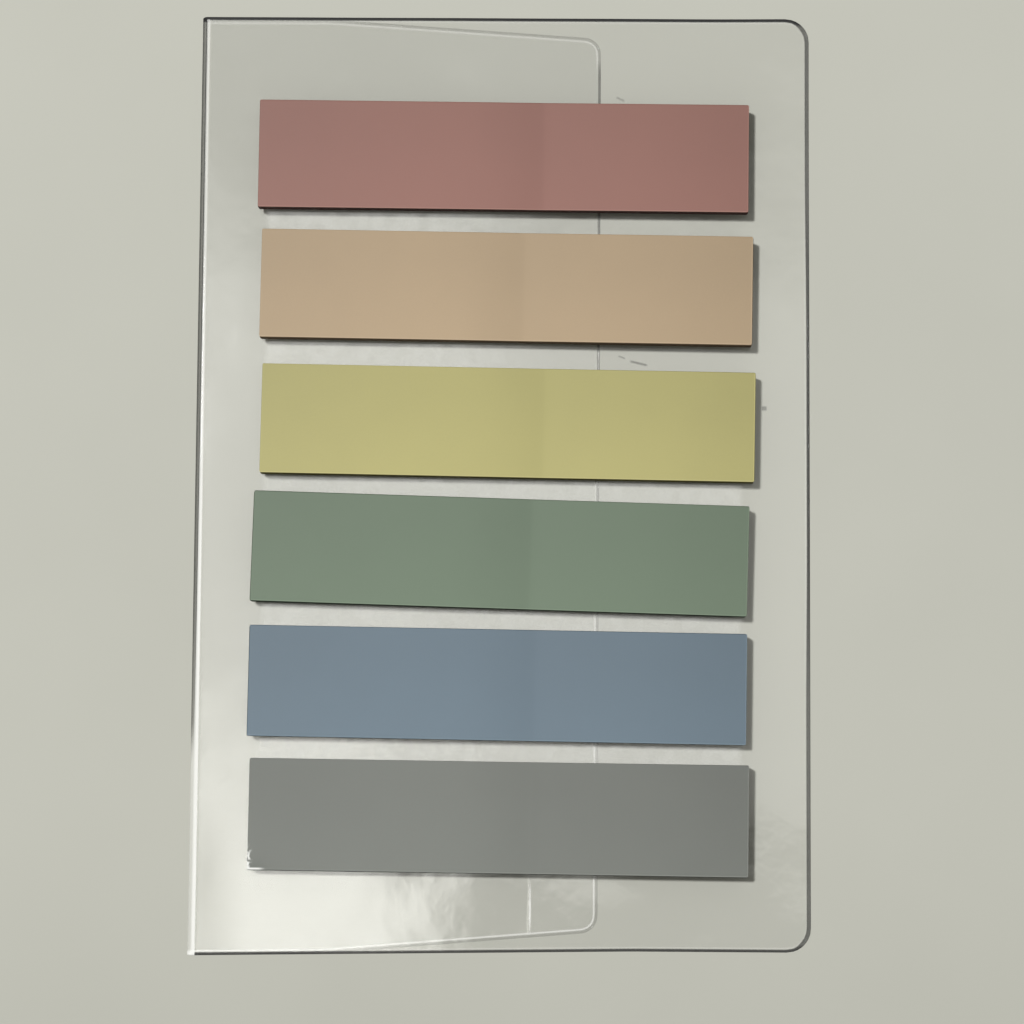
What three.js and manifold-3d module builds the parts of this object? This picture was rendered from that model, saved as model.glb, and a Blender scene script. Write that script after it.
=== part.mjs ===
// Sticky index tabs: six pads of film strips on a clear plastic holder that is folded once.
// Millimetres. The holder lies flat with its flap underneath, its fold is on the -X side and the
// rows of tabs follow each other along Y. The origin is the middle of the footprint, on the surface.
import * as THREE from 'three';
import { mergeVertices } from 'three/addons/utils/BufferGeometryUtils.js';
import Module from 'manifold-3d';

const wasm = await Module();
wasm.setup();

// Film strips and pads
const stripLength = 45;
const stripWidth = 10;
const stripThickness = 0.065;
const stripsPerPad = 20;
const adhesiveLength = 25.5; // from the left end of a strip to where its adhesive stops
const lineDip = 0.07; // how far a pad's top sinks where the adhesive stops
const lineShoulder = 6; // length over which it sinks
const freeEndRise = 0.1; // how far the strips that aren't stuck spring up at their free end

// Places on the panel
const rowGap = 2.1;
const topMargin = 8.25;
const bottomMargin = 6.9;
const foldMargin = 5.6;
const freeMargin = 5.6;

// Clear holder
const filmThickness = 0.3;
const slotHeight = 0.5; // the room for a page between the panel and its flap
const flapWidth = 37;
const flapTaperStart = 12; // from the fold to where the flap's ends begin to slope
const flapTaper = 1.7; // how far each end has sloped in at the flap's free edge
const panelCornerRadius = 2.2;
const flapCornerRadius = 1.6;

// The pads from top to bottom. Each was stuck on by machine a little off its row: across and along
// are millimetres from the row's own place, and turn is in degrees, clockwise seen from above.
const pads = [
  { name: 'tabs_rose', colour: 0xa6736a, across: -0.05, along: 0, turn: 0.4 },
  { name: 'tabs_peach', colour: 0xc7ab8a, across: 0.3, along: -0.1, turn: 0.7 },
  { name: 'tabs_yellow', colour: 0xc6c27f, across: 0.5, along: -0.5, turn: 0.8 },
  { name: 'tabs_green', colour: 0x7c9279, across: -0.15, along: -0.35, turn: 1.5 },
  { name: 'tabs_blue', colour: 0x788e9e, across: -0.3, along: -0.15, turn: 0.7 },
  { name: 'tabs_grey', colour: 0x8a8c86, across: -0.1, along: 0, turn: 0.5 },
];

// Sizes that follow
const padThickness = stripThickness * stripsPerPad;
const holderHeight = 2 * filmThickness + slotHeight;
const foldRadius = holderHeight / 2;
const panelWidth = foldMargin + stripLength + freeMargin;
const rowPitch = stripWidth + rowGap;
const panelLength = topMargin + pads.length * rowPitch - rowGap + bottomMargin;
const halfLength = panelLength / 2;
const arcSteps = 24;
const cutMargin = 2; // how far a cutting solid reaches past the film that it trims

function extrude(shape, depth) {
  return new THREE.ExtrudeGeometry(shape, { depth, bevelEnabled: false, curveSegments: arcSteps });
}

// A closed geometry as a solid that can be cut
function toSolid(geometry) {
  geometry.deleteAttribute('normal');
  geometry.deleteAttribute('uv');
  const merged = mergeVertices(geometry);
  const vertProperties = Float32Array.from(merged.attributes.position.array);
  const triVerts = Uint32Array.from(merged.index.array);
  return new wasm.Manifold(new wasm.Mesh({ numProp: 3, vertProperties, triVerts }));
}

function toGeometry(solid) {
  const mesh = solid.getMesh();
  const geometry = new THREE.BufferGeometry();
  geometry.setAttribute('position', new THREE.BufferAttribute(mesh.vertProperties, 3));
  geometry.setIndex(new THREE.BufferAttribute(mesh.triVerts, 1));
  geometry.computeVertexNormals();
  return geometry;
}

// The section of the folded film: x runs from the fold to the free edges, y is the height
function foldedFilmShape() {
  const shape = new THREE.Shape();
  shape.moveTo(panelWidth, holderHeight);
  shape.lineTo(foldRadius, holderHeight);
  shape.absarc(foldRadius, foldRadius, foldRadius, Math.PI / 2, 3 * Math.PI / 2, false);
  shape.lineTo(flapWidth, 0);
  shape.lineTo(flapWidth, filmThickness);
  shape.lineTo(foldRadius, filmThickness);
  shape.absarc(foldRadius, foldRadius, slotHeight / 2, 3 * Math.PI / 2, Math.PI / 2, true);
  shape.lineTo(panelWidth, holderHeight - filmThickness);
  shape.closePath();
  return shape;
}

// What is trimmed off a corner of the panel at its free edge. side is +1 at the top, -1 at the bottom
function panelCornerCut(side) {
  const shape = new THREE.Shape();
  const arcX = panelWidth - panelCornerRadius;
  const arcY = halfLength - panelCornerRadius;
  shape.absarc(arcX, side * arcY, panelCornerRadius, side * Math.PI / 2, 0, side > 0);
  shape.lineTo(panelWidth + cutMargin, side * arcY);
  shape.lineTo(panelWidth + cutMargin, side * (halfLength + cutMargin));
  shape.lineTo(arcX, side * (halfLength + cutMargin));
  shape.closePath();
  const depth = foldRadius + cutMargin;
  return extrude(shape, depth).translate(0, 0, foldRadius);
}

// What is trimmed off an end of the flap: a long shallow slope and a rounded corner
function flapEndCut(side) {
  const shape = new THREE.Shape();
  const slope = Math.atan2(flapTaper, flapWidth - flapTaperStart);
  const arcX = flapWidth - flapCornerRadius;
  const slopeY = halfLength - (arcX - flapTaperStart) * Math.tan(slope);
  const arcY = slopeY - flapCornerRadius / Math.cos(slope);
  shape.moveTo(flapTaperStart, side * halfLength);
  shape.absarc(arcX, side * arcY, flapCornerRadius, side * (Math.PI / 2 - slope), 0, side > 0);
  shape.lineTo(flapWidth + cutMargin, side * arcY);
  shape.lineTo(flapWidth + cutMargin, side * (halfLength + cutMargin));
  shape.lineTo(flapTaperStart, side * (halfLength + cutMargin));
  shape.closePath();
  const depth = foldRadius + cutMargin;
  return extrude(shape, depth).translate(0, 0, -cutMargin);
}

function holderGeometry() {
  const film = extrude(foldedFilmShape(), panelLength);
  film.translate(0, 0, -halfLength).rotateX(Math.PI / 2);
  let solid = toSolid(film);
  for (const side of [1, -1]) {
    solid = solid.subtract(toSolid(panelCornerCut(side)));
    solid = solid.subtract(toSolid(flapEndCut(side)));
  }
  return toGeometry(solid).translate(-panelWidth / 2, 0, 0);
}

// A pad seen from its long side: flat where the strips are stuck, a slight dip where the adhesive
// stops, and a gentle rise to the free end
function padShape() {
  const freeMiddle = (adhesiveLength + stripLength) / 2;
  const freeTop = padThickness + freeEndRise;
  const shape = new THREE.Shape();
  shape.moveTo(0, 0);
  shape.lineTo(stripLength, 0);
  shape.lineTo(stripLength, freeTop);
  shape.quadraticCurveTo(freeMiddle, freeTop, adhesiveLength, padThickness - lineDip);
  shape.quadraticCurveTo(adhesiveLength - lineShoulder / 2, padThickness,
    adhesiveLength - lineShoulder, padThickness);
  shape.lineTo(0, padThickness);
  shape.closePath();
  return shape;
}

function padGeometry() {
  const geometry = extrude(padShape(), stripWidth);
  return geometry.translate(-stripLength / 2, 0, -stripWidth / 2).rotateX(Math.PI / 2);
}

function filmMaterial(colour, roughness) {
  return new THREE.MeshStandardMaterial({ color: colour, roughness, metalness: 0 });
}

function clearHolder() {
  const material = filmMaterial(0xd5d8d2, 0.15);
  material.transparent = true;
  material.opacity = 0.35;
  const holder = new THREE.Mesh(holderGeometry(), material);
  holder.name = 'clear_holder';
  return holder;
}

function tabPad(pad, row) {
  const mesh = new THREE.Mesh(padGeometry(), filmMaterial(pad.colour, 0.55));
  mesh.name = pad.name;
  const rowX = foldMargin + stripLength / 2 - panelWidth / 2;
  const rowY = halfLength - topMargin - stripWidth / 2 - row * rowPitch;
  mesh.position.set(rowX + pad.across, rowY + pad.along, holderHeight);
  mesh.rotation.z = -THREE.MathUtils.degToRad(pad.turn);
  return mesh;
}

const indexTabs = new THREE.Group();
indexTabs.name = 'sticky_index_tabs';
indexTabs.add(clearHolder());
pads.forEach((pad, row) => indexTabs.add(tabPad(pad, row)));

export default indexTabs;
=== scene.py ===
# %% [markdown]
# # Sticky index tabs on a clear folded holder
# Six pads of film strips lie on a sheet of clear plastic that is folded once, so that it slips over a
# page. The CAD model gives every place and size, and this script dresses it: each solid pad becomes a
# stack of separate strips, and the solid holder becomes a sheet with rims, a fold and small dents.
# Lengths are thought of in millimetres, because the real thing is small, and become metres at the end.

# %% Load the frame
import math
import random

import bpy
import numpy as np
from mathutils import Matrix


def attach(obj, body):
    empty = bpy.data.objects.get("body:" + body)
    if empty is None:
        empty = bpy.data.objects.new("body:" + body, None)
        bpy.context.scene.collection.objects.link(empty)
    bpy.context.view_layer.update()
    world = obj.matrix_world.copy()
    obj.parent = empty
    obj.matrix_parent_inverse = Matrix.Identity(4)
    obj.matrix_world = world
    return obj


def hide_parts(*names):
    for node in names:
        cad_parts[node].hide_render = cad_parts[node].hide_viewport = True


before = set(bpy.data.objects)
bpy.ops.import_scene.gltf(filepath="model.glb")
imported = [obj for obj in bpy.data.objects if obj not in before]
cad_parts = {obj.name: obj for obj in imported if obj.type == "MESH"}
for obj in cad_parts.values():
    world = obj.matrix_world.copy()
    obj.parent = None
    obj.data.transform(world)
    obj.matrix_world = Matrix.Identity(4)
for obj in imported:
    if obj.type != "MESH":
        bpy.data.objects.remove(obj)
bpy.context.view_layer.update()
MM = 0.001

# %% [markdown]
# ## Camera
# The photograph looks down on the holder from about 26 cm, a little below its middle. The lens and the
# place were worked out from the corners of the pads, so the camera is set by numbers, without shift.

# %% Set the camera
camera_data = bpy.data.cameras.new("camera")
camera_data.lens = 101.95
camera_data.sensor_width = 36
camera_data.clip_start = 0.005
camera = bpy.data.objects.new("camera", camera_data)
camera.location = (3.11 * MM, -28.02 * MM, 264.56 * MM)
camera.rotation_euler = [math.radians(angle) for angle in (5.389, 0.436, 0.393)]
bpy.context.scene.collection.objects.link(camera)
bpy.context.scene.camera = camera
bpy.context.scene.view_settings.view_transform = "Standard"
print("Camera set at", [round(v / MM, 1) for v in camera.location], "mm")

# %% [markdown]
# ## Shader maths
# A finish is a small sum: a bit of haze here, a darker rim there. Node by node that is hard to read, so
# a wire wraps a socket and lets Python's own operators add the Math nodes. Every other node comes from
# one method, which sets the node's settings first and then fills or links its sockets.

# %% Wrap the sockets
class Wire:
    def __init__(self, finish, socket):
        self.finish = finish
        self.socket = socket

    def output(self, name):
        return Wire(self.finish, self.socket.node.outputs[name])

    def maths(self, operation, first, second):
        return self.finish.add("ShaderNodeMath", {"operation": operation}, {0: first, 1: second})

    def __add__(self, other):
        return self.maths("ADD", self, other)

    def __sub__(self, other):
        return self.maths("SUBTRACT", self, other)

    def __rsub__(self, other):
        return self.maths("SUBTRACT", other, self)

    def __mul__(self, other):
        return self.maths("MULTIPLY", self, other)

    def __pow__(self, other):
        return self.maths("POWER", self, other)

    __radd__ = __add__
    __rmul__ = __mul__


class Finish:
    def __init__(self, name, tree=None):
        if tree is None:
            self.material = bpy.data.materials.new(name)
            self.material.use_nodes = True
            tree = self.material.node_tree
        self.tree = tree
        self.tree.nodes.clear()

    def add(self, kind, settings=None, sockets=None, output=0):
        node = self.tree.nodes.new(kind)
        for key, value in (settings or {}).items():
            setattr(node, key, value)
        for key, value in (sockets or {}).items():
            if isinstance(value, Wire):
                self.tree.links.new(value.socket, node.inputs[key])
            else:
                node.inputs[key].default_value = value
        return Wire(self, node.outputs[output]) if node.outputs else node

    def smooth(self, wire, start, end):
        sockets = {"Value": wire, "From Min": start, "From Max": end}
        return self.add("ShaderNodeMapRange", {"interpolation_type": "SMOOTHSTEP"}, sockets)

    def blend(self, factor, first, second):
        return self.add("ShaderNodeMix", {"data_type": "RGBA"}, {0: factor, 6: first, 7: second}, 2)

    def noise(self, vector, scale, detail=2.0):
        return self.add("ShaderNodeTexNoise", None, {"Vector": vector, "Scale": scale, "Detail": detail})


def colour(red, green, blue):
    levels = [value / 255 for value in (red, green, blue)]
    linear = [v / 12.92 if v <= 0.04045 else ((v + 0.055) / 1.055) ** 2.4 for v in levels]
    return (*linear, 1.0)


print("A mid grey of level 128 is", round(colour(128, 128, 128)[0], 3), "in linear light")

# %% [markdown]
# ## Table
# The holder lies on a plain pale table top, a little warmer than white. It is only a stage for the
# object, so it is one large square with a faint mottle, which keeps the shadows. Its colour is also
# painted darker towards the bottom of the view, as painted shade for the fall-off of the light.

# %% Lay the table
def plane(name, half, height):
    mesh = bpy.data.meshes.new(name)
    corners = [(-half, -half, 0), (half, -half, 0), (half, half, 0), (-half, half, 0)]
    mesh.from_pydata(corners, [], [(0, 1, 2, 3)])
    piece = bpy.data.objects.new(name, mesh)
    piece.location.z = height
    bpy.context.scene.collection.objects.link(piece)
    return piece


table = plane("table", 2.5, -0.02 * MM)
paint = Finish("pale_table")
where = paint.add("ShaderNodeTexCoord", output="Object")
mottle = paint.noise(where, 45.0, 3.0)
depth = paint.add("ShaderNodeSeparateXYZ", None, {0: where}).output("Y")
# Painted shade: the table's colour darkens towards the bottom of the view, as the light's fall-off.
painted_falloff = paint.smooth(depth, -0.062, -0.026) * 0.4 + paint.smooth(depth, 0.0, 0.07) * 0.14
tone_share = painted_falloff + mottle * 0.38
top_colour = paint.blend(tone_share, colour(183, 183, 173), colour(201, 201, 191))
bsdf = paint.add("ShaderNodeBsdfPrincipled", None, {"Base Color": top_colour, "Roughness": 0.85, "Specular IOR Level": 0.25})
paint.add("ShaderNodeOutputMaterial", None, {"Surface": bsdf})
table.data.materials.append(paint.material)
print("Table laid just under the flap")

# %% [markdown]
# ## Light
# The shadows run to the lower right and have crisp edges, so the main lamp is small and stands high on
# the upper left. The rest of the light comes evenly from all round. Together they light the table so
# that a colour renders about as it is written.

# %% Hang the main lamp
lamp_way = (-0.27, 0.15, 0.95)
lamp_reach = 1.4
lamp_data = bpy.data.lights.new("main_lamp", "AREA")
lamp_data.shape = "DISK"
lamp_data.size = 0.13
lamp_data.energy = 15.3
lamp = bpy.data.objects.new("main_lamp", lamp_data)
lamp.location = [part * lamp_reach for part in lamp_way]
lamp.rotation_euler = (math.atan2(math.hypot(lamp_way[0], lamp_way[1]), lamp_way[2]), 0,
                       math.atan2(lamp_way[1], lamp_way[0]) + math.pi / 2)
lamp.visible_camera = False
bpy.context.scene.collection.objects.link(lamp)
print("Lamp at", [round(v, 2) for v in lamp.location], "m")

# %% Light the surroundings
world = bpy.data.worlds.new("surroundings")
world.use_nodes = True
bpy.context.scene.world = world
sky = Finish("sky", world.node_tree)
seen = sky.add("ShaderNodeLightPath", output="Is Camera Ray")
ambient = sky.add("ShaderNodeBackground", None, {"Color": (1.0, 1.0, 0.94, 1.0), "Strength": 0.25})
backdrop = sky.add("ShaderNodeBackground", None, {"Color": colour(214, 214, 206), "Strength": 1.0})
both = sky.add("ShaderNodeMixShader", None, {0: seen, 1: ambient, 2: backdrop})
sky.add("ShaderNodeOutputWorld", None, {"Surface": both})
print("Surroundings give about a quarter of the light on the table")

# %% [markdown]
# The clear sheet also mirrors something large and bright that hangs above: a pale glare covers its lower
# left part and fades upwards. A glowing card stands for it. Only mirror reflections see the card, so it
# adds no light to the table or the pads.

# %% Hang the glowing card
card = plane("glow_card", 0.25, 0.6)
glow = Finish("card_glow")
spot = glow.add("ShaderNodeTexCoord", output="Object")
across = glow.add("ShaderNodeSeparateXYZ", None, {0: spot})
upward = across.output("Y")
left_part = 1 - glow.smooth(across, -0.048, -0.012)
low_part = (1 - glow.smooth(upward, -0.075, 0.045)) * (glow.smooth(across, -0.105, -0.076) * 0.5 + 0.5)
even_part = 1 - glow.smooth(upward, 0.1, 0.18)
lower_end = glow.add("ShaderNodeMath", {"operation": "MAXIMUM"},
                     {0: glow.smooth(upward, -0.056, -0.04), 1: left_part})
strength = even_part * lower_end * 1.1 + left_part * low_part * 2.65
emission = glow.add("ShaderNodeEmission", None, {"Color": (1.0, 0.995, 0.94, 1.0), "Strength": strength})
glow.add("ShaderNodeOutputMaterial", None, {"Surface": emission})
card.data.materials.append(glow.material)
card.rotation_euler = (0, 0, 0)
for ray in ("camera", "diffuse", "transmission", "volume_scatter", "shadow"):
    setattr(card, "visible_" + ray, False)
print("Card hangs 600 mm above the table")

# %% [markdown]
# ## The sheet laid flat
# Before it is folded, the holder is one flat sheet with rounded corners at both ends, and the end that
# becomes the flap is narrowed a little. It could be modelled folded from the start, but then its
# corners, its fold and its rims would each need their own care. Here the flat sheet is a grid of
# stations along it, with extra stations near the rims, and one function folds every point.

# %% Set the sheet's sizes
HALF_LENGTH = 42.825
PANEL_WIDTH = 56.2
FILM = 0.3
SLOT = 0.5
HEIGHT = 2 * FILM + SLOT
FOLD_X = -PANEL_WIDTH / 2
OUTER_RADIUS = HEIGHT / 2
MIDDLE_RADIUS = OUTER_RADIUS - FILM / 2
PANEL_RUN = PANEL_WIDTH - OUTER_RADIUS
FOLD_RUN = math.pi * MIDDLE_RADIUS
FLAP_WIDTH = 37.0
FLAP_RUN = FLAP_WIDTH - OUTER_RADIUS
FLAP_START = PANEL_RUN + FOLD_RUN
SHEET_RUN = FLAP_START + FLAP_RUN
PANEL_CORNER = 2.2
FLAP_CORNER = 1.6
TAPER_START = 12.0
TAPER = 1.7
print("The flat sheet is", round(SHEET_RUN, 1), "by", 2 * HALF_LENGTH, "mm")


# %% Find how far the sheet reaches to each side
def half_length_at(run):
    if run < PANEL_CORNER:
        rise = math.sqrt(max(PANEL_CORNER ** 2 - (PANEL_CORNER - run) ** 2, 0))
        return HALF_LENGTH - PANEL_CORNER + rise
    from_fold = run - FLAP_START + OUTER_RADIUS
    if from_fold < TAPER_START:
        return HALF_LENGTH
    slope = math.atan2(TAPER, FLAP_WIDTH - TAPER_START)
    arc_x = FLAP_WIDTH - FLAP_CORNER
    arc_y = HALF_LENGTH - (arc_x - TAPER_START) * math.tan(slope) - FLAP_CORNER / math.cos(slope)
    if from_fold < arc_x + FLAP_CORNER * math.sin(slope):
        return HALF_LENGTH - (from_fold - TAPER_START) * math.tan(slope)
    return arc_y + math.sqrt(max(FLAP_CORNER ** 2 - (from_fold - arc_x) ** 2, 0))


RIM_STEPS = [0, 0.06, 0.12, 0.19, 0.27, 0.36, 0.47, 0.62, 0.85, 1.2, 1.6, 2.2]
CREASE_X = 2.8
CREASE_RUN = FLAP_START + CREASE_X - (FOLD_X + OUTER_RADIUS)


def spread(start, end, step):
    count = max(1, round((end - start) / step))
    return [start + (end - start) * index / count for index in range(count + 1)]


def stations_along():
    crease = [CREASE_RUN + offset for offset in (-0.6, -0.3, -0.15, 0, 0.15, 0.3, 0.6)]
    stations = RIM_STEPS + spread(2.2, PANEL_RUN - 0.3, 1.2)[1:] + [PANEL_RUN - 0.1, PANEL_RUN]
    stations += spread(PANEL_RUN, FLAP_START, FOLD_RUN / 20)[1:]
    stations += [FLAP_START + 0.1] + spread(FLAP_START + 0.3, crease[0], 1.2) + crease[1:]
    stations += spread(crease[-1], SHEET_RUN - 2.2, 1.2)[1:]
    return stations + [SHEET_RUN - step for step in reversed(RIM_STEPS[:-1])]


runs = stations_along()
halves = [half_length_at(run) for run in runs]
print(len(runs), "stations along the sheet, of which 21 are in the fold")


# %% [markdown]
# A cut edge of clear film looks darker than the film, with a bright line just inside it, because light
# runs along inside the sheet and comes out there. The shader paints this shade and highlight near the
# cut, so it needs to know how far each point is from the cut; the distance is measured here and kept on the mesh.

# %% Measure the distance to the cut edge
def sheet_rows(half):
    inner = spread(-(half - RIM_STEPS[-1]), half - RIM_STEPS[-1], 80.425 / 66)
    low = [-half + step for step in RIM_STEPS[:-1]]
    high = [half - step for step in reversed(RIM_STEPS[:-1])]
    count = 66
    inner = [inner[0] + (inner[-1] - inner[0]) * index / count for index in range(count + 1)]
    return low + inner + high


flat = np.array([[(run, side) for side in sheet_rows(half)] for run, half in zip(runs, halves)])
outline = np.concatenate([flat[:, 0], flat[-1, 1:], flat[::-1, -1][1:], flat[0, ::-1][1:]])


def distance_to(points, loop):
    nearest = np.full(len(points), 1e9)
    for start, end in zip(loop[:-1], loop[1:]):
        edge = end - start
        length = edge @ edge
        if length == 0:
            continue
        share = np.clip((points - start) @ edge / length, 0, 1)
        gap = points - start - share[:, None] * edge
        nearest = np.minimum(nearest, np.hypot(gap[:, 0], gap[:, 1]))
    return nearest


points = flat.reshape(-1, 2)
rim = distance_to(points, outline)
print(len(points), "points on the sheet, furthest from a cut edge:", round(float(rim.max()), 1), "mm")


# %% [markdown]
# Film that has been in a bag is never quite flat. Two corners stand up a little, and the margins round
# the pads carry slow waves of a few hundredths of a millimetre. Under the pads the sheet stays level,
# because the pads lie on it. The flap has one short crease near its lower corner.

# %% Shape the slack of the film
def ease(value):
    value = np.clip(value, 0, 1)
    return value * value * (3 - 2 * value)


def corner_lift(x, y):
    low_left = ease(1 - np.hypot(x + 28.1, y + 42.8) / 8.4)
    top_right = ease(1 - np.hypot(x - 28.1, y - 42.8) / 9.4)
    return 0.17 * low_left + 0.16 * top_right


def margin_wave(x, y):
    outside = np.maximum(np.abs(x) - 23.2, np.abs(y) - 36.2)
    wave = np.sin(0.41 * x + 0.23 * y) + 0.6 * np.sin(0.29 * y - 0.17 * x + 1.3)
    return 0.03 * ease(outside / 3.0) * wave


def out_of_square(x, y):
    return 0.62 * np.clip((12 - x) / 40, 0, 1) * ease((-34 - y) / 8)


def crease_height(x, y):
    along = ease((y + 41.6) / 1.2) * ease((-36.3 - y) / 1.2)
    return 0.03 * along * np.maximum(0, 1 - np.abs(x - CREASE_X) / 0.15)


print("Corner lift:", round(float(corner_lift(-28.1, -42.8)), 2), "mm at the lower left")


# %% [markdown]
# ## Fold the sheet
# A point of the flat sheet lands on the panel, in the half turn of the fold, or on the flap. The same
# function places the outer and the inner face of the film, half its thickness to each side, and the
# film thins towards the cut so that the edge is rounded and not knife sharp.

# %% Place a face of the film
def folded_face(side_of_film):
    run, y = points[:, 0], points[:, 1]
    turn = np.clip((run - PANEL_RUN) / MIDDLE_RADIUS, 0, math.pi)
    past = np.clip(run - FLAP_START, 0, None)
    on_panel = np.clip(PANEL_RUN - run, 0, None)
    rounding = np.sqrt(1 - 0.75 * np.clip(1 - rim / 0.1, 0, 1) ** 2)
    reach = MIDDLE_RADIUS + side_of_film * FILM / 2 * rounding
    x = FOLD_X + OUTER_RADIUS + on_panel + past - reach * np.sin(turn)
    z = OUTER_RADIUS + reach * np.cos(turn)
    panel_part = ease(on_panel / 2.0)
    flap_part = ease(past / 2.0)
    z = z + corner_lift(x, y) + margin_wave(x, y) * panel_part * (1 - 0.6 * ease(1 - rim / 3))
    z = z + crease_height(x, y) * flap_part
    return np.stack([x, y - out_of_square(x, y), z], axis=1)


outer = folded_face(1)
inner = folded_face(-1)
print("Outer face from", outer.min(0).round(2), "to", outer.max(0).round(2))


# %% Build the holder's mesh
def holder_faces(columns, rows):
    total = columns * rows
    faces = []
    for i in range(columns - 1):
        for j in range(rows - 1):
            a, b, c, d = i * rows + j, (i + 1) * rows + j, (i + 1) * rows + j + 1, i * rows + j + 1
            faces.append((a, b, c, d)[::-1])
            faces.append((a + total, b + total, c + total, d + total))
    border = [i * rows for i in range(columns)]
    border += [(columns - 1) * rows + j for j in range(1, rows)]
    border += [i * rows + rows - 1 for i in reversed(range(columns - 1))]
    border += [j for j in reversed(range(1, rows - 1))]
    for a, b in zip(border, border[1:] + border[:1]):
        faces.append((a, b, b + total, a + total))
    return faces


def mesh_piece(name, vertices, faces, note_name, notes):
    mesh = bpy.data.meshes.new(name)
    mesh.from_pydata((vertices * MM).tolist(), [], faces)
    mesh.attributes.new(note_name, "FLOAT_VECTOR", "POINT")
    mesh.attributes[note_name].data.foreach_set("vector", np.ascontiguousarray(notes, dtype=np.float32).ravel())
    mesh.polygons.foreach_set("use_smooth", [True] * len(mesh.polygons))
    mesh.update()
    piece = bpy.data.objects.new(name, mesh)
    bpy.context.scene.collection.objects.link(piece)
    return piece


sheet_notes = np.column_stack([points, rim])
holder = mesh_piece("folded_clear_film", np.concatenate([outer, inner]),
                    holder_faces(len(runs), flat.shape[1]), "sheet", np.concatenate([sheet_notes] * 2))
print("Holder:", len(holder.data.polygons), "faces")

# %% [markdown]
# ## The clear film's finish
# Clear film shows itself only by what it mirrors, by its rims and by a little haze. A glass shader would
# bend light at every face of a 0.3 mm sheet, which is slow and adds nothing that can be seen, so the
# film is a mix of see-through and mirror. The mirror's share grows towards a flat view. A third part
# holds haze and scuffs, and also painted shade and painted highlights: the rims' dark and bright lines,
# the fold's dark band and highlight, a glint at the fold's lower corner, a highlight along the crease
# and painted light between the pads.

# %% Make the clear film
film = Finish("clear_film")
sheet = film.add("ShaderNodeAttribute", {"attribute_name": "sheet"}, output="Vector")
run_at = film.add("ShaderNodeSeparateXYZ", None, {0: sheet})
side_at = run_at.output("Y")
rim_at = run_at.output("Z")
place = film.add("ShaderNodeTexCoord", output="Object")
place_mm = film.add("ShaderNodeVectorMath", {"operation": "SCALE"}, {0: place, "Scale": 1000.0})
slow = film.noise(place_mm, 0.09, 1.0)
ripples = slow + film.noise(place_mm, 0.55, 2.0) * 0.14
wavy = film.add("ShaderNodeBump", None, {"Strength": 1.0, "Distance": 0.12 * MM, "Height": ripples})
facing = film.add("ShaderNodeLayerWeight", None, {"Blend": 0.5, "Normal": wavy}, "Facing")
place_x = film.add("ShaderNodeSeparateXYZ", None, {0: place_mm})
place_y = place_x.output("Y")
dull_corner = (1 - film.smooth(place_x, -26.5, -22.5)) * (1 - film.smooth(place_y, -37.0, -30.0))
fold_zone = film.smooth(run_at, PANEL_RUN - 0.25, PANEL_RUN) * (1 - film.smooth(run_at, FLAP_START - 0.5, FLAP_START))
mirror_share = (facing ** 5 * 0.96 + 0.04) * (1 - fold_zone * 0.9) * (1 - dull_corner * 0.5)
clear = film.add("ShaderNodeBsdfTransparent", None, {"Color": (1.0, 1.0, 1.0, 1.0)})
mirror = film.add("ShaderNodeBsdfGlossy", None, {"Roughness": 0.07, "Normal": wavy})
body = film.add("ShaderNodeMixShader", None, {0: mirror_share, 1: clear, 2: mirror})
print("The film mirrors 4 percent of the light at each face when seen square on")

# %% Add haze, scuffs, and painted shade and highlights to the film
on_flap = film.smooth(run_at, FLAP_START - 0.1, FLAP_START + 0.1)
low_side = 1 - film.smooth(side_at, -40.0, 20.0)
flap_end = film.smooth(run_at, SHEET_RUN - 1.0, SHEET_RUN - 0.6) * (1 - film.smooth(side_at, 37.5, 39.5))
high_end = flap_end * (1 - low_side)
top_rim = film.smooth(side_at, 42.0, 42.6)
free_edge = 1 - film.smooth(run_at, 0.7, 1.6)
from_middle = film.add("ShaderNodeMath", {"operation": "ABSOLUTE"}, {0: side_at - 3.5})
edge_middle = 1 - film.smooth(from_middle, 8.0, 26.0)
# Painted shade: a dark line along the cut edges, for light lost at the cut and the edge's shadow, darker on some
# sides.
painted_rim_shade = 1 - film.smooth(rim_at - free_edge * (0.12 - edge_middle * 0.1), 0.17, 0.31)
low_rim = 1 - film.smooth(side_at, -42.6, -42.0)
painted_rim_shade_strength = (1 - on_flap) * (top_rim * 0.64 + low_rim * 0.4 + free_edge * (edge_middle * 0.2 + 0.2) + 0.3) + on_flap * (high_end * 0.22 + 0.13)
# Painted highlight: a bright line just inside the cut, stronger on the flap's lower side where the glare falls.
painted_rim_highlight = film.smooth(rim_at, 0.22, 0.34) * (1 - film.smooth(rim_at, 0.36, 0.46))
painted_rim_highlight_strength = on_flap * (low_side * 0.2 + 0.1) + 0.1 - high_end * 0.16
scratchy = film.noise(place_mm, 3.0, 4.0)
specks = film.smooth(scratchy, 0.68, 0.74) * 0.05
haze = specks + 0.008
# Noise that breaks up the painted highlight on the crease and the painted light between the pads.
painted_light_patchiness = film.smooth(film.noise(place_mm, 0.9, 2.0), 0.25, 0.75)
# Painted highlight: a pale line along the crease, for the glint on its bent ridge.
crease_gap = film.add("ShaderNodeMath", {"operation": "ABSOLUTE"}, {0: run_at - CREASE_RUN})
crease_ends = film.smooth(side_at, -41.6, -39.5) * (1 - film.smooth(side_at, -38.3, -36.3))
crease = (1 - film.smooth(crease_gap, 0.02, 0.12)) * crease_ends * (painted_light_patchiness * 0.4 + 0.35)
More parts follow.
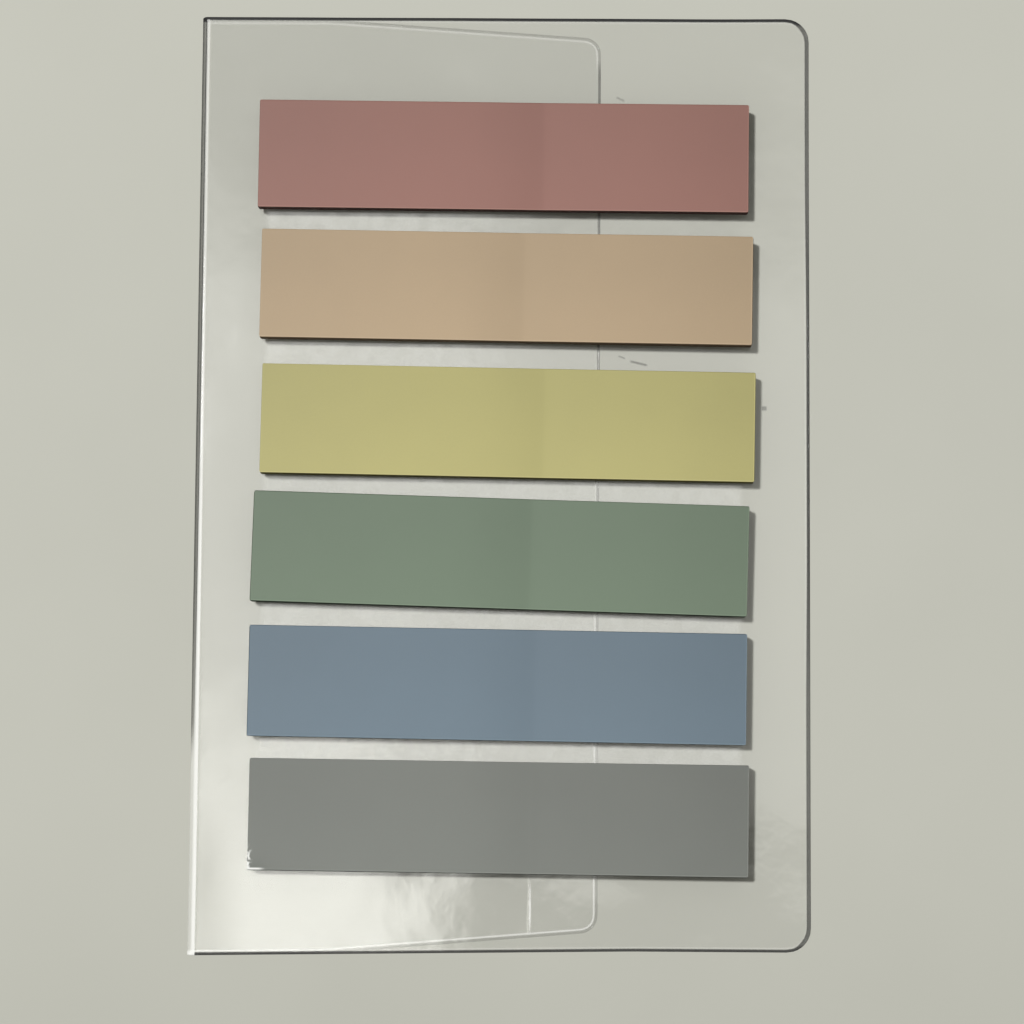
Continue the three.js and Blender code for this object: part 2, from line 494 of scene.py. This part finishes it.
# Painted shade and highlight on the fold: a dark band on its outer turn up top, and a pale line for the reflection in
# the bend, whiter lower down.
fold_top = film.smooth(run_at, PANEL_RUN - 0.22, PANEL_RUN - 0.1)
fold_end = film.smooth(run_at, FLAP_START - 0.5, FLAP_START - 0.3)
low_fold = 1 - film.smooth(side_at, -20.0, 26.0)
highlit_turn = 1 - film.smooth(side_at, -36.0, -6.0)
past_top = film.smooth(run_at, PANEL_RUN, PANEL_RUN + 0.2)
outer_turn = past_top * (1 - fold_end)
painted_fold_highlight = fold_top * (1 - past_top) * (low_fold * 0.45 + 0.3)
# Painted highlight: a glint at the fold's lower corner, where the painted rim shade is left out.
fold_corner_glint = (1 - film.smooth(side_at, -42.7, -42.2)) * fold_top * (1 - fold_end)
aside = film.add("ShaderNodeMath", {"operation": "ABSOLUTE"}, {0: place_x})
upright = film.add("ShaderNodeMath", {"operation": "ABSOLUTE"}, {0: place_y})
# Painted light: a faint pale haze on the film between the pads brightens the shaded gaps there.
between_pads = (1 - film.smooth(aside, 21.3, 22.3)) * (1 - film.smooth(upright, 34.0, 34.5))
top_right = film.smooth(place_y, 2.0, 12.0) * film.smooth(place_x, -8.0, 8.0)
painted_gap_light = between_pads * (1 - top_right) * (1 - on_flap) * (painted_light_patchiness * 0.08 + 0.09)


def mark(x, y, degrees, half_long, half_wide, strength):
    """A small stroke of dirt or a scratch on the film."""
    cosine, sine = math.cos(math.radians(degrees)), math.sin(math.radians(degrees))
    away_x, away_y = place_x - x, place_y - y
    long_way = film.add("ShaderNodeMath", {"operation": "ABSOLUTE"}, {0: away_x * cosine + away_y * sine})
    wide_way = film.add("ShaderNodeMath", {"operation": "ABSOLUTE"}, {0: away_y * cosine - away_x * sine})
    inside_long = 1 - film.smooth(long_way, half_long * 0.6, half_long)
    return inside_long * (1 - film.smooth(wide_way, half_wide * 0.3, half_wide)) * strength


marks = mark(10.9, 11.15, -20, 0.4, 0.12, 0.16) + mark(12.45, 10.6, -13, 0.95, 0.15, 0.26)
marks = marks + mark(23.95, 6.5, 0, 0.28, 0.28, 0.26) + mark(10.7, 35.25, -25, 0.5, 0.14, 0.16)
# Dark: marks on the film plus painted shade at the rims and the fold's outer turn. Pale: haze and specks plus painted
# highlights at the rims, fold and crease, and painted light between the pads.
dark = marks + painted_rim_shade * painted_rim_shade_strength * (1 - fold_corner_glint) + outer_turn * (1 - highlit_turn) * 0.62
pale = painted_rim_highlight * painted_rim_highlight_strength + crease + haze + painted_gap_light + painted_fold_highlight + outer_turn * highlit_turn * 0.3 + fold_corner_glint * 0.7
solid_share = film.add("ShaderNodeMath", {"operation": "MINIMUM"}, {0: dark + pale, 1: 1.0})
solid_colour = film.blend(film.smooth(dark - pale, -0.1, 0.1), (0.93, 0.93, 0.89, 1), (0.03, 0.03, 0.03, 1))
solid = film.add("ShaderNodeBsdfPrincipled", None, {"Base Color": solid_colour, "Roughness": 0.5, "Specular IOR Level": 0.1})
skin = film.add("ShaderNodeMixShader", None, {0: solid_share, 1: body, 2: solid})
film.add("ShaderNodeOutputMaterial", None, {"Surface": skin})
holder.visible_shadow = False
holder.visible_diffuse = False
holder.data.materials.append(film.material)
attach(holder, "root")
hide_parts("clear_holder")
print("Clear film finished")

# %% [markdown]
# ## The pads
# A pad is twenty strips of coloured film, each stuck to the next along a bit more than half its length.
# The other part is loose, so the strips rise a little towards their free ends, and the top sinks where
# the adhesive stops. A solid block would look right from straight above only. Here every strip is
# modelled by itself, with thin gaps between, so that the cut sides show the layers.

# %% Set the strips' sizes
STRIP_LENGTH = 45.0
STRIP_WIDTH = 10.0
STRIP_PITCH = 0.065
STRIP_FILM = 0.05
STRIP_CORNER = 0.12
STRIPS = 20
ROW_PITCH = 12.1
TOP_ROW = 29.575
PADS = [
    ("rose", "tabs_rose", -0.05, 0.0, 0.4, 26.2, 0.055, (138, 94, 83)),
    ("peach", "tabs_peach", 0.3, -0.1, 0.7, 24.1, 0.03, (170, 147, 116)),
    ("yellow", "tabs_yellow", 0.5, -0.5, 0.8, 25.8, 0.035, (171, 164, 102)),
    ("green", "tabs_green", -0.15, -0.35, 1.5, 25.3, 0.06, (98, 115, 94)),
    ("blue", "tabs_blue", -0.3, -0.15, 0.7, 25.9, 0.02, (96, 114, 127)),
    ("grey", "tabs_grey", -0.1, 0.0, 0.5, 25.6, -0.03, (112, 115, 109)),
]
print(len(PADS), "pads of", STRIPS, "strips, each", STRIPS * STRIP_PITCH, "mm thick")


# %% Shape a strip's height along its length
def bow(along, line):
    """How much higher than a flat pad the top strip lies, along its length."""
    shoulder = np.clip((along - (line - 6)) / 6, 0, 1)
    sink = -0.07 * shoulder ** 2
    loose = np.clip((along - line) / (STRIP_LENGTH - line), 0, 1)
    return np.where(along < line, sink, -0.07 + 0.17 * (2 * loose - loose ** 2))


ALONG = np.array([0, 0.05, 0.15, 0.35, 0.6, 0.9, 1.3, 1.8] + spread(3, 18, 1.5) + spread(18.6, 27.6, 0.6)
                 + spread(29, 42.5, 1.5) + [43.5, 44.2, 44.65, 44.85, 44.95, 45])
ACROSS = np.array([-5, -4.95, -4.85, -4.65, -4.4, -4.1, -3.7, -3.2, -1.6, 0, 1.6, 3.2, 4.4, 4.85, 4.95, 5])
print(len(ALONG), "by", len(ACROSS), "points on each face of a strip")


# %% Build one pad
def strip_faces(start, columns, rows):
    return [tuple(index + start for index in face) for face in holder_faces(columns, rows)]


def pad_piece(colour_name, row, across_shift, along_shift, turn, line, chance):
    grid_a, grid_c = np.meshgrid(ALONG, ACROSS, indexing="ij")
    along, across = grid_a.ravel(), grid_c.ravel()
    edge = np.minimum(np.minimum(along, STRIP_LENGTH - along), STRIP_WIDTH / 2 - np.abs(across))
    from_end = np.clip(np.minimum(along, STRIP_LENGTH - along), 0, STRIP_CORNER)
    cut_back = STRIP_CORNER - np.sqrt(STRIP_CORNER ** 2 - (STRIP_CORNER - from_end) ** 2)
    drawn_in = 1 - cut_back / (STRIP_WIDTH / 2)
    rounding = np.sqrt(1 - 0.6 * np.clip(1 - edge / 0.05, 0, 1) ** 2)
    vertices, faces, notes = [], [], []
    for number in range(STRIPS):
        share = (number + 1) / STRIPS
        level = HEIGHT + (number + 0.5) * STRIP_PITCH + share * bow(along, line)
        if colour_name == "grey" and number >= STRIPS - 2:
            corner = np.hypot(along, across + STRIP_WIDTH / 2)
            level = level + (0.12 + 0.12 * (number - 18)) * np.clip(1 - corner / 1.9, 0, 1) ** 1.5
        loose = np.clip((along - line) / (STRIP_LENGTH - line), 0, 1)
        level = level + chance.uniform(0, 0.012) * loose * share
        slip_a, slip_c = chance.uniform(-0.03, 0.03), chance.uniform(-0.03, 0.03)
        angle = math.radians(-turn + chance.uniform(-0.04, 0.04))
        a, c = along - STRIP_LENGTH / 2 + slip_a, across * drawn_in + slip_c
        x = across_shift + a * math.cos(angle) - c * math.sin(angle)
        y = TOP_ROW - row * ROW_PITCH + along_shift + a * math.sin(angle) + c * math.cos(angle)
        start = sum(len(part) for part in vertices)
        for sign in (1, -1):
            vertices.append(np.stack([x, y, level + sign * STRIP_FILM / 2 * rounding], axis=1))
            notes.append(np.stack([along, across, np.full_like(along, number)], axis=1))
        faces += strip_faces(start, len(ALONG), len(ACROSS))
    return mesh_piece(colour_name + "_strips", np.concatenate(vertices), faces, "strip",
                      np.concatenate(notes))


chance = random.Random(12)
pieces = {}
for row, (name, node, across_shift, along_shift, turn, line, step, tone) in enumerate(PADS):
    pieces[name] = pad_piece(name, row, across_shift, along_shift, turn, line, chance)
    print(name, "pad:", len(pieces[name].data.polygons), "faces")

# %% [markdown]
# ## The strips' finish
# The strips are satin film, coloured right through. Their tone is painted uneven: it deepens a little
# towards the line where the adhesive stops, is lighter just past it, and fades towards the free end,
# because the loose film sits differently to the light, and the lower side is a little lighter. This is
# painted shade and sheen; the step at the adhesive line is partly the film's own tone. The cut sides
# are given a deeper, darker colour than the face, partly the film's own colour seen edge-on and partly
# painted shade, and the rim of the top strip gets a thin lighter line, a painted highlight. A very fine
# grain breaks up the gloss.

# %% Make the film of one pad
def strip_finish(name, tone, line, step):
    dye = Finish(name + "_film")
    strip = dye.add("ShaderNodeAttribute", {"attribute_name": "strip"}, output="Vector")
    along = dye.add("ShaderNodeSeparateXYZ", None, {0: strip})
    across = along.output("Y")
    place = dye.add("ShaderNodeTexCoord", output="Object")
    place_mm = dye.add("ShaderNodeVectorMath", {"operation": "SCALE"}, {0: place, "Scale": 1000.0})
    cloud = dye.noise(place_mm, 0.22, 2.0)
    grain = dye.noise(place_mm, 9.0, 2.0)
    # Painted shade and sheen along and across the strip; the step at the adhesive line is partly the film's own tone,
    # and the cloud and grain are tone that varies at random.
    rising = dye.smooth(along, 0.0, 16.0) * 0.07
    deepening = dye.smooth(along, line - 8, line) * -0.07
    past_line = dye.smooth(along, line - 0.25, line + 0.25) * step
    fading = dye.smooth(along, line + 8, STRIP_LENGTH) * -0.07
    low_edge = (1 - dye.smooth(across, -5.5, 4.5)) * 0.1
    shade = rising + deepening + past_line + fading + low_edge + (cloud - 0.5) * 0.06
    buried = 1 - dye.smooth(along.output("Z"), STRIPS - 1.8, STRIPS - 1.2)
    shade = shade + (grain - 0.5) * 0.08 + 0.925
    bright = dye.add("ShaderNodeCombineColor", None, {0: shade, 1: shade, 2: shade})
    face = dye.add("ShaderNodeMix", {"data_type": "RGBA", "blend_type": "MULTIPLY"},
                   {0: 1.0, 6: colour(*tone), 7: bright}, 2)
    # Painted highlight: a thin lighter line on the top strip's lower rim and free end.
    lower_rim = 1 - dye.smooth(across, -4.97, -4.86)
    right_rim = dye.smooth(along, STRIP_LENGTH - 0.14, STRIP_LENGTH - 0.03)
    rim = dye.add("ShaderNodeMath", {"operation": "MAXIMUM"}, {0: lower_rim, 1: right_rim})
    rim_highlight_tone = [min(255, value + 34) for value in tone]
    # The cut sides: the film's deeper colour seen edge-on, darkened further as painted shade.
    side_tone_with_painted_shade = [0.45 * value ** 1.35 for value in colour(*tone)[:3]] + [1.0]
    base = dye.blend(buried, dye.blend(rim * 0.7, face, colour(*rim_highlight_tone)), side_tone_with_painted_shade)
    if name == "grey":
        # Painted glint: pale spots along the grey pad's curled lower left corner.
        glint_spots = dye.smooth(dye.noise(place_mm, 2.6, 3.0), 0.5, 0.62)
        left_rim = (1 - dye.smooth(along, 0.12, 0.55)) * (1 - dye.smooth(across, -4.2, -2.6))
        low_rim = (1 - dye.smooth(across, -4.9, -4.75)) * (1 - dye.smooth(along, 0.9, 1.7))
        painted_curl_glint = dye.add("ShaderNodeMath", {"operation": "MAXIMUM"}, {0: left_rim * glint_spots, 1: low_rim})
        base = dye.blend(painted_curl_glint * (1 - buried), base, (0.95, 0.95, 0.92, 1))
    rough = (grain - 0.5) * 0.12 + 0.55
    bump = dye.add("ShaderNodeBump", None, {"Strength": 0.25, "Distance": 0.01 * MM, "Height": grain})
    satin = dye.add("ShaderNodeBsdfPrincipled", None,
                    {"Base Color": base, "Roughness": rough, "Normal": bump, "IOR": 1.45})
    dye.add("ShaderNodeOutputMaterial", None, {"Surface": satin})
    return dye.material


for name, node, across_shift, along_shift, turn, line, step, tone in PADS:
    pieces[name].data.materials.append(strip_finish(name, tone, line, step))
    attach(pieces[name], "root")
    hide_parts(node)
print("Finished", ", ".join(pieces))
